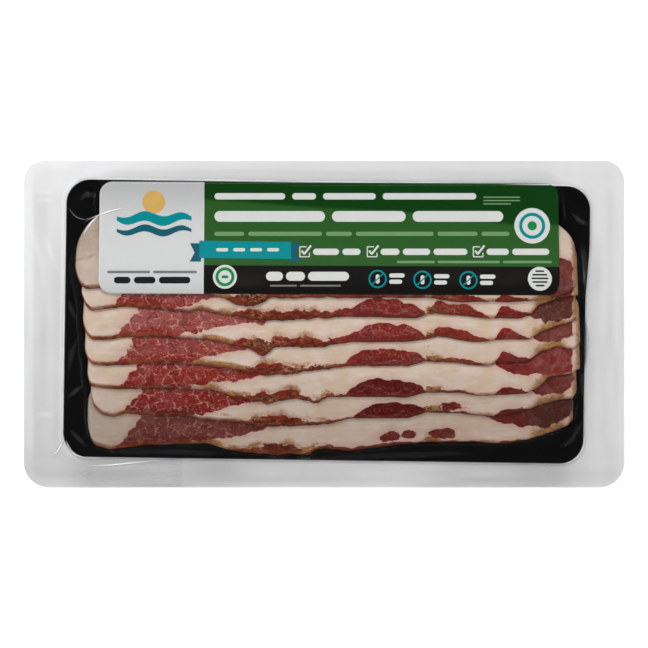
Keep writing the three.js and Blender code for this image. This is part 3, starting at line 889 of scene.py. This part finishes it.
PANEL_A = along(203.8)
BAND_B = across_label(266.0)


def label_limits(a):
    half = LABEL_WIDTH / 2 - corner_cut(LABEL_LENGTH / 2 - np.abs(a), LABEL_CORNER, LABEL_CORNER)
    return -half, half


def drape(name, a, b, lift, sink, materials, pick=None):
    """A thin closed sheet over the label, from grids of label measures."""
    x, y = label_point(a, b)
    z = label_height(a, b)
    top = np.stack([x, y, z + lift], 2)
    bottom = np.stack([x, y, z + sink], 2)
    verts, faces = closed_grid(top, bottom)
    obj = make_object(name, verts, faces, materials)
    if pick is not None:
        J, K = a.shape
        cell = pick((a[:-1, :-1] + a[1:, 1:]) / 2, (b[:-1, :-1] + b[1:, 1:]) / 2).ravel()
        index = np.concatenate([cell, cell, np.full(len(faces) - 2 * len(cell), 0)])
        obj.data.polygons.foreach_set("material_index", index.astype(np.int32))
    return obj


end_u = np.linspace(0, 1, 7)
near_end = LABEL_CORNER * (1 - np.cos(end_u * math.pi / 2))
a_left = -LABEL_LENGTH / 2 + near_end
a_right = LABEL_LENGTH / 2 - near_end[::-1]
a_line = np.concatenate(
    [
        a_left[:-1],
        np.linspace(a_left[-1], PANEL_A, 45),
        np.linspace(PANEL_A, a_right[0], 150)[1:],
        a_right[1:],
    ]
)
lo, hi = label_limits(a_line)
low_part = np.linspace(0, 1, 15)
high_part = np.linspace(0, 1, 42)[1:]
b_grid = np.concatenate(
    [
        lo[:, None] + low_part[None, :] * (BAND_B - lo)[:, None],
        BAND_B + high_part[None, :] * (hi - BAND_B)[:, None],
    ],
    1,
)
a_grid = np.repeat(a_line[:, None], b_grid.shape[1], 1)
label = drape(
    "label_sheet",
    a_grid,
    b_grid,
    LABEL_THICKNESS,
    0.0,
    [WHITE, GREEN, BLACK],
    lambda a, b: np.where(a < PANEL_A, 0, np.where(b < BAND_B, 2, 1)),
)
# painted light on the label's green panel: the line between its darker far side and the lighter painted reflection
# below it, in layout units
PAINTED_LIGHT_EDGE = [(203, 200), (230, 201.5), (320, 208), (409, 212), (507, 223.5), (560, 224)]
label_u = (a_grid + LABEL_X) / UNIT + 324
label_v = 324 - (b_grid + LABEL_Y) / (UNIT * 1.004)
fade = step(-2.0, 2.0, label_v - knots(PAINTED_LIGHT_EDGE, label_u, 4.0))
# the white panel gets the same painted light: darker at its far side and towards its bottom
fade = np.where(a_grid < PANEL_A, step(178, 232, label_v) * (1 - 0.4 * step(276, 294, label_v)), fade)
set_floats(label, fade=np.tile(fade.ravel(), 2))
keep(label, "label", "label")
lx, ly = label_point(a_grid, b_grid)
raster(HEIGHT, lx[:, 0], ly, label_height(a_grid, b_grid) + LABEL_THICKNESS + 0.18)

# ------------------------------------------------- print on the label ----
PRINT_INKS = [PALE, PALE_GREEN, TEAL, TEAL_DARK, GREY, DARK, GOLD, LEAF]
prints = []


def lay(a, b, ink_of, layer):
    x, y = label_point(a, b)
    z = label_height(a, b) + LABEL_THICKNESS
    top = np.stack([x, y, z + 0.02 + 0.05 * layer], 2)
    prints.append((*closed_grid(top, np.stack([x, y, z - 0.03], 2)), PRINT_INKS.index(ink_of)))


def to_label(u, v):
    a = (np.asarray(u, float) - 324) * UNIT - LABEL_X
    return a, (324 - np.asarray(v, float)) * UNIT * 1.004 - LABEL_Y - LABEL_SLOPE * a


def patch_between(us, upper, lower, ink_of, layer=1, rows=4):
    us = np.asarray(us, float)
    part = np.linspace(1, 0, rows)
    v = upper[:, None] + part[None, :] * (lower - upper)[:, None]
    lay(*to_label(np.repeat(us[:, None], rows, 1), v), ink_of, layer)


def bar(u0, u1, v0, v1, ink_of, layer=1, lean=0.0):
    r = min((v1 - v0) / 2, (u1 - u0) / 2)
    end = r * (1 - np.cos(np.linspace(0, math.pi / 2, 8)))
    middle = np.linspace(u0 + r, u1 - r, max(2, int((u1 - u0 - 2 * r) / 4) + 2))
    us = np.concatenate([u0 + end[:-1], middle, (u1 - end[::-1])[1:]]) if u1 - u0 > 2 * r + 0.1 else np.concatenate(
        [u0 + end[:-1], (u1 - end[::-1])]
    )
    t_in = np.minimum(us - u0, u1 - us)
    half = (v1 - v0) / 2 - r + r * np.sqrt(np.maximum(0.01, 1 - np.clip(1 - t_in / r, 0, 1) ** 2))
    mid = (v0 + v1) / 2 + lean * (us - u0)
    patch_between(us, mid - half, mid + half, ink_of, layer, 4 if r < 6 else 11)


def disc(u, v, r, ink_of, layer=1):
    bar(u - r, u + r, v - r, v + r, ink_of, layer)


def stroke(points, width, ink_of, layer=1):
    pts = np.array(points, float)
    run = np.concatenate([[0], np.cumsum(np.hypot(*np.diff(pts, axis=0).T))])
    at = np.unique(np.concatenate([run, np.linspace(0, run[-1], max(2, int(run[-1] / 3)))]))
    line = np.column_stack([np.interp(at, run, pts[:, k]) for k in (0, 1)])
    side = np.gradient(line, axis=0)
    side = np.column_stack([-side[:, 1], side[:, 0]]) / np.maximum(np.hypot(*side.T), 1e-9)[:, None]
    off = np.array([0.5, 0.0, -0.5]) * width
    grid = line[:, None, :] + side[:, None, :] * off[None, :, None]
    lay(*to_label(grid[..., 0], grid[..., 1]), ink_of, layer)


def ring(u, v, r, width, ink_of, layer=1):
    turn = np.linspace(0, 2 * math.pi, 49)
    stroke(np.column_stack([u + r * np.cos(turn), v + r * np.sin(turn)]), width, ink_of, layer)


def words(u0, u1, v0, v1, ink_of, cuts, gap=5.0):
    at = u0
    for part in cuts:
        end = at + part * (u1 - u0) / sum(cuts)
        bar(at, end - gap, v0, v1, ink_of)
        at = end


# emblem: a rising disc over two waves
wave_u = np.linspace(116, 191, 40)
disc(153, 202, 11.5, GOLD)
for v, height, ink_of in ((218.5, 5.0, TEAL), (230.5, 3.6, TEAL_DARK)):
    crest = v + 2.6 * np.sin((wave_u - 116) / 75 * 4 * math.pi)
    thin = 0.25 + 0.75 * np.sin(np.clip((wave_u - 116) / 75, 0.02, 0.98) * math.pi) ** 0.5
    patch_between(wave_u, crest - height * thin, crest + height * thin, ink_of)
words(107, 200, 271.0, 273.4, GREY, (46, 47), 3.0)
words(114, 194, 277.0, 283.6, DARK, (20, 25, 35), 3.5)

# headings as plain bars
words(214, 484, 193.0, 199.4, PALE, (78, 31, 60, 101), 7.0)
for v in (196.5, 199.8, 203.1):
    bar(484, 521 - (v > 203) * 9, v, v + 1.3, PALE_GREEN)
words(214, 511, 211.0, 221.8, PALE, (118, 81, 98), 7.0)
words(214, 514, 231.8, 236.0, PALE_GREEN, (34, 78, 30, 82, 44, 32), 4.0)

# ribbon with cut ends
ribbon_u = np.linspace(199, 291, 32)
patch_between(ribbon_u, 240.8 + 0.012 * (ribbon_u - 199), 258.2 + 0.012 * (ribbon_u - 199), TEAL, 2)
for inner, outer in ((201.0, 190.0), (289.0, 300.0)):
    us = np.sort(np.array([outer, outer + (inner - outer) * 0.4, inner]))
    depth = np.interp(np.abs(us - outer), [0, abs(inner - outer) * 0.4, abs(inner - outer)], [0.06, 1.0, 1.0])
    patch_between(us, np.full(3, 243.4), 243.4 + 9.2 * depth, TEAL_DARK, 1, 3)
    patch_between(us, 261.8 - 9.2 * depth, np.full(3, 261.8), TEAL_DARK, 1, 3)
for k in range(4):
    bar(216 + 17 * k, 228 + 17 * k, 248.2, 251.6, PALE, 3)

# ticks with lines beside them
for u, end, cuts in ((304.6, 364, (30, 22)), (372.2, 471, (24, 33, 40)), (478.4, 553, (28, 44))):
    stroke([(u + 2, 246.9), (u - 4.8, 246.9), (u - 4.8, 256.9), (u + 4.8, 256.9), (u + 4.8, 253)], 1.1, PALE)
    stroke([(u - 3.0, 250.8), (u - 0.4, 254.2), (u + 6.4, 245.6)], 2.0, PALE, 2)
    words(u + 8.4, end, 248.8, 255.2, PALE, cuts, 3.4)
words(397, 555, 261.0, 263.4, PALE_GREEN, (40, 64, 51), 3.0)

# round marks
disc(532.9, 225.8, 17.9, PALE)
ring(532.9, 225.8, 11.5, 3.2, TEAL, 2)
disc(532.9, 225.8, 4.6, LEAF, 2)
disc(225.0, 277.0, 12.0, PALE)
ring(225.0, 277.0, 8.0, 3.0, LEAF, 2)
bar(221.5, 228.5, 275.6, 278.4, LEAF, 2)
words(266, 352, 272.0, 281.0, PALE, (20, 22, 44), 3.0)
words(270, 344, 285.0, 286.8, GREY, (30, 44), 3.0)
for u, v in ((377.6, 279.2), (422.4, 280.0), (468.3, 280.4)):
    ring(u, v, 8.3, 1.7, TEAL)
    bar(u - 1.9, u + 1.9, v - 4.6, v + 4.6, PALE)
    stroke([(u - 5.8, v + 5.8), (u + 5.8, v - 5.8)], 1.3, TEAL, 2)
    bar(u + 11.5, u + 27.0, v - 5.6, v - 1.4, PALE)
    bar(u + 11.5, u + 24.5, v + 0.6, v + 4.8, PALE)
disc(539.7, 279.0, 12.0, PALE)
for k, w in enumerate((4.5, 7.5, 8.5, 7.5, 4.5)):
    bar(539.7 - w, 539.7 + w, 270.6 + 3.6 * k, 272.2 + 3.6 * k, DARK, 2)

verts, faces, picks, base = [], [], [], 0
for v, f, ink_index in prints:
    verts.append(v)
    faces += [[i + base for i in q] for q in f]
    picks += [ink_index] * len(f)
    base += len(v)
printed = make_object("label_print", np.concatenate(verts), faces, PRINT_INKS, smooth=False)
printed.data.polygons.foreach_set("material_index", np.array(picks, np.int32))
keep(printed, "label", "label")

# ------------------------------------------------------ film over it all ----
COARSE = 2
film_support = HEIGHT[::COARSE, ::COARSE] + FILM_CLEAR
film_support = np.where(board_distance(MX, MY)[::COARSE, ::COARSE] > 1.2, BORDER_TOP, film_support)
hold = film_support.copy()
FILM_Z = settle(hold, STEP * COARSE, STEP * COARSE, FILM_SAG, 900)
FILM_GRID = np.kron(FILM_Z, np.ones((1, 1)))


def film_height(x, y):
    px = np.clip((x - GX[0]) / (STEP * COARSE), 0, FILM_Z.shape[0] - 1.001)
    py = np.clip((y - GY[0]) / (STEP * COARSE), 0, FILM_Z.shape[1] - 1.001)
    i, j = px.astype(int), py.astype(int)
    u, v = px - i, py - j
    low = FILM_Z[i, j] * (1 - u) + FILM_Z[i + 1, j] * u
    high = FILM_Z[i, j + 1] * (1 - u) + FILM_Z[i + 1, j + 1] * u
    return low * (1 - v) + high * v


def pouch_half_length(y):
    far = corner_cut(POUCH_WIDTH / 2 - y, POUCH_CORNER_FAR, POUCH_CORNER_FAR)
    near = corner_cut(POUCH_WIDTH / 2 + y, POUCH_CORNER_NEAR, POUCH_CORNER_NEAR)
    return POUCH_LENGTH / 2 - far - near


edge_in = 12.0 * (1 - np.cos(np.linspace(0, 1, 15) * math.pi / 2))
y_line = np.concatenate(
    [
        -POUCH_WIDTH / 2 + edge_in[:-1],
        np.linspace(-POUCH_WIDTH / 2 + 12, POUCH_WIDTH / 2 - 12, 150),
        POUCH_WIDTH / 2 - edge_in[::-1][1:],
    ]
)
x_part = np.linspace(-1, 1, 322)
film_y = np.repeat(y_line[None, :], len(x_part), 0)
film_x = x_part[:, None] * pouch_half_length(y_line)[None, :]
film_z = film_height(film_x, film_y)
outside = board_distance(film_x, film_y)
wavy = 0.10 * noise(film_x / 21.0, film_y / 13.0, 51) * step(2, 9, outside)
film_z = film_z + wavy

J, K = film_x.shape
top_verts = np.stack([film_x, film_y, film_z], 2).reshape(-1, 3)
a = (np.arange(J - 1)[:, None] * K + np.arange(K - 1)[None, :]).ravel()
faces = np.stack([a, a + K, a + K + 1, a + 1], 1).tolist()
ring = (
    [j * K for j in range(J)]
    + [(J - 1) * K + k for k in range(1, K)]
    + [j * K + K - 1 for j in range(J - 2, -1, -1)]
    + [k for k in range(K - 2, 0, -1)]
)
base = len(top_verts)
under = top_verts[ring].copy()
under[:, 2] = 0.0
n = len(ring)
for i in range(n):
    k = (i + 1) % n
    faces.append([base + i, base + k, ring[k], ring[i]])
faces.append([base + i for i in range(n)][::-1])
film = make_object("film_skin", np.concatenate([top_verts, under]), faces, FILM)
edge_in = np.minimum(
    pouch_half_length(film_y) - np.abs(film_x), POUCH_WIDTH / 2 - np.abs(film_y)
)
# how light the sealed border reads: the film's own haze with painted light in it, paler at the far left, brighter
# along the top and greyer below, with pale painted highlights on the seal's ridges at the left end
west, east = step(-112, -126, film_x), step(112, 126, film_x)
south, north = step(-58, -68, film_y), step(60, 68, film_y)
up = film_y / 78.6
light_w = 0.65 + 0.13 * up + 0.12 * step(5.5, 3.5, edge_in) + 0.04 * noise(film_x / 3.0, film_y / 26.0, 71)
for at_x, at_y, slope in ((-138.3, 37.0, 0.24), (-131.6, 34.5, 0.42)):
    run = at_x - slope * (film_y - at_y)
    light_w = light_w + 0.09 * np.exp(-(((film_x - run) / 1.3) ** 2)) * np.exp(-(((film_y - at_y) / 8.0) ** 2))
for at_y in (63.8, 60.0, -43.6):
    light_w = light_w + 0.10 * np.exp(-(((film_x + 134.3) / 3.6) ** 4)) * np.exp(-(((film_y - at_y) / 0.9) ** 2))
light_e = 0.665 + 0.05 * up + 0.05 * step(7, 3, edge_in) + 0.04 * noise(film_x / 3.0, film_y / 24.0, 72)
light_s = 0.45 + 0.11 * step(60, 20, np.abs(film_x - 10)) + 0.05 * noise(film_x / 26.0, film_y / 3.0, 73)
light_s = light_s - 0.055 * step(-67.6, -69.4, film_x) + 0.14 * step(112, 134, np.abs(film_x)) + 0.05 * step(3.5, 1.5, edge_in)
light_n = 0.745 + 0.13 * step(-50, -105, film_x) + 0.03 * noise(film_x / 24.0, film_y / 3.0, 74)
total = west + east + south + north + 1e-6
light = (west * light_w + east * light_e + 1.4 * south * light_s + north * light_n) / (
    west + east + 1.4 * south + north + 1e-6
)
# painted highlight: a thin white line in the film just outside the board's left edge
light = light * 0.975 + 0.17 * step(-117, -121, film_x) * np.exp(-(((outside - 1.4) / 0.8) ** 2))
light = np.clip(light, 0.35, 0.96)
haze = (1.7 - np.sqrt(np.maximum(2.89 - 4 * (1 - light), 0.0))) / 2 * step(-0.2, 0.9, outside)
haze = np.concatenate([haze.ravel(), np.zeros(n)])
set_floats(film, haze=haze, glint=np.zeros(len(haze)))
keep(film, "film", "film_pouch")


def film_top(x, y):
    out = board_distance(x, y)
    return film_height(x, y) + 0.10 * noise(x / 21.0, y / 13.0, 51) * step(2, 9, out)


creases = []


def crease(points, width, rise, shine):
    """A narrow ridge of film along a line; shine gives the strength of the painted highlight along it."""
    pts = np.array(points, float)
    run = np.concatenate([[0], np.cumsum(np.hypot(*np.diff(pts, axis=0).T))])
    count = max(8, int(run[-1] / 0.8))
    at = np.linspace(0, run[-1], count)
    line = np.column_stack([np.interp(at, run, pts[:, k]) for k in (0, 1)])
    for _ in range(3):
        line[1:-1] = (line[:-2] + 2 * line[1:-1] + line[2:]) / 4
    side = np.gradient(line, axis=0)
    side = np.column_stack([-side[:, 1], side[:, 0]]) / np.maximum(np.hypot(*side.T), 1e-9)[:, None]
    q = at / run[-1]
    taper = np.sin(np.clip(q, 0.02, 0.98) * math.pi) ** 0.5
    profile = np.array([-1.0, -0.5, 0.0, 0.5, 1.0])
    xy = line[:, None, :] + side[:, None, :] * (profile[None, :, None] * (width * taper)[:, None, None])
    z = film_top(xy[..., 0], xy[..., 1]) + 0.03
    top = np.dstack([xy, z + rise * (1 - profile**2)[None, :] * taper[:, None]])
    bottom = np.dstack([xy, z - 0.02])
    shine = np.interp(q, np.linspace(0, 1, len(shine)), shine) if not np.isscalar(shine) else shine * np.ones(count)
    glow = (shine * taper)[:, None] * (1 - profile**2)[None, :]
    creases.append((top, bottom, glow))


def on_film(points):
    return [((u - 324) * 0.4818, (324 - v) * 0.4818) for u, v in points]


# painted highlight: the white line where the film leaves the board's edge
edge_highlight_line = board_ring(0.45, 0.0)[:, :2]
edge_highlight_line = np.vstack([edge_highlight_line, edge_highlight_line[:1]])
rim_run = np.concatenate([[0], np.cumsum(np.hypot(*np.diff(edge_highlight_line, axis=0).T))])
rim_at = np.linspace(0, rim_run[-1], 900)
edge_highlight_line = np.column_stack([np.interp(rim_at, rim_run, edge_highlight_line[:, k]) for k in (0, 1)])
weight = 0.15 + 0.6 * step(-118, -124, edge_highlight_line[:, 0]) + 0.45 * step(60, 66, edge_highlight_line[:, 1])
weight = np.maximum(weight, 0.7 * step(112, 119, edge_highlight_line[:, 0]) * step(-52, -58, edge_highlight_line[:, 1]))
weight = np.maximum(weight, 0.8 * step(-100, -112, edge_highlight_line[:, 0]) * step(-58, -62, edge_highlight_line[:, 1]))
weight = weight * (0.75 + 0.35 * noise(rim_at / 9.0, 0.3, 81))
for k in range(0, 900, 60):
    part = slice(k, min(k + 68, 900))
    crease(edge_highlight_line[part], 0.42, 0.10, np.clip(weight[part], 0, 1))

# painted highlights along creases of the film: at the board's upper-left corner, over the label, over slice 1's left
# end and at the board's lower-left corner
crease(on_film([(68, 207), (75.5, 217), (84.7, 220), (90, 218.5)]), 0.35, 0.12, 0.10)
crease(on_film([(84, 223), (90, 218.5), (98.6, 216), (112.4, 211), (128, 207.7)]), 0.55, 0.25, [0.1, 0.25, 0.6, 0.65, 0.2])
crease(on_film([(83, 238), (87, 229), (93, 221), (100, 215.5)]), 0.65, 0.25, [0.2, 0.5, 0.75, 0.6])
crease(on_film([(52, 456), (58, 451), (62, 443), (64.5, 436)]), 0.5, 0.2, [0.9, 0.7, 0.5, 0.3])
crease(on_film([(66, 440), (70, 449), (76, 455), (88, 458)]), 0.4, 0.15, [0.5, 0.8, 0.8, 0.4])
crease(on_film([(80, 466.5), (110, 465), (140, 462), (182, 458.5)]), 0.45, 0.2, [0.3, 0.8, 0.4, 0.1])

# faint folds of the film over the bare margin of the board, with faint painted highlights along them
for line, shine in (
    ([(69, 300), (72, 312), (77, 320)], 0.05),
    ([(78, 338), (72, 352), (69, 370)], 0.045),
    ([(69, 397), (75, 391), (83, 386)], 0.06),
    ([(70, 430), (76, 436), (86, 446)], 0.05),
    ([(112, 453), (160, 451.5), (222, 453.5)], 0.025),
    ([(300, 459), (380, 456), (470, 453)], 0.02),
    ([(80, 200), (86, 194), (97, 196)], 0.05),
    ([(572, 214), (581, 222), (588, 224)], 0.07),
    ([(583, 244), (585, 262), (584, 284)], 0.06),
    ([(584, 318), (587, 338), (585, 366)], 0.05),
    ([(560, 447), (572, 440), (583, 420)], 0.04),
):
    crease(on_film(line), 1.3, 0.25, 0.4 * shine)

verts, faces, glow, base = [], [], [], 0
for top, bottom, shine in creases:
    v, f = closed_grid(top, bottom)
    verts.append(v)
    faces += [[i + base for i in q] for q in f]
    glow += [shine.ravel(), shine.ravel()]
    base += len(v)
fold_highlights = make_object("film_fold_highlights", np.concatenate(verts), faces, FILM)
glow = np.concatenate(glow)
set_floats(fold_highlights, haze=np.zeros(len(glow)), glint=np.clip(glow, 0, 1))
keep(fold_highlights, "film", "film_pouch")

# ---------------------------------------------------------------- stage ----
g = Graph("floor")
pale = g.mix(g.noise(g.place((1.0, 1.0, 1.0)), 0.6, 2.0), (0.93, 0.93, 0.93), (0.955, 0.955, 0.955))
floor_material = g.finish(g.principled(Base_Color=pale, Roughness=0.9))
floor = make_object(
    "floor",
    np.array([[-3000, -3000, -0.05], [3000, -3000, -0.05], [3000, 3000, -0.05], [-3000, 3000, -0.05]], float),
    [[0, 1, 2, 3]],
    floor_material,
    smooth=False,
)

scene = bpy.context.scene
scene.view_settings.view_transform = "Standard"

world = bpy.data.worlds.new("studio")
scene.world = world
world.use_nodes = True
background = world.node_tree.nodes["Background"]
background.inputs["Color"].default_value = (0.92, 0.95, 1.0, 1.0)
background.inputs["Strength"].default_value = 0.16


def softbox(name, place, target, size, power, tint=(1.0, 1.0, 1.0)):
    data = bpy.data.lights.new(name, "AREA")
    data.shape = "RECTANGLE"
    data.size, data.size_y = size
    data.energy = power
    data.color = tint
    obj = bpy.data.objects.new(name, data)
    scene.collection.objects.link(obj)
    obj.location = place
    from mathutils import Vector

    aim = Vector(target) - Vector(place)
    obj.rotation_euler = aim.to_track_quat("-Z", "Y").to_euler()


softbox("key", (-0.25, 1.30, 1.22), (0, 0, 0), (1.9, 0.55), 25.8)
softbox("fill_left", (-1.4, -0.05, 1.1), (0, 0, 0), (0.8, 0.8), 9.6)
softbox("fill_right", (1.4, -0.05, 1.1), (0, 0, 0), (0.8, 0.8), 8.7)
softbox("fill_near", (0.0, -1.35, 1.15), (0, 0, 0), (1.6, 0.5), 12.5)

camera_data = bpy.data.cameras.new("camera")
camera_data.lens = CAMERA_LENS
camera_data.sensor_width = CAMERA_SENSOR
camera_data.clip_end = 50.0
camera = bpy.data.objects.new("camera", camera_data)
camera.location = (0.0, 0.0, CAMERA_HEIGHT * 0.001)
scene.collection.objects.link(camera)
scene.camera = camera

bpy.context.view_layer.update()
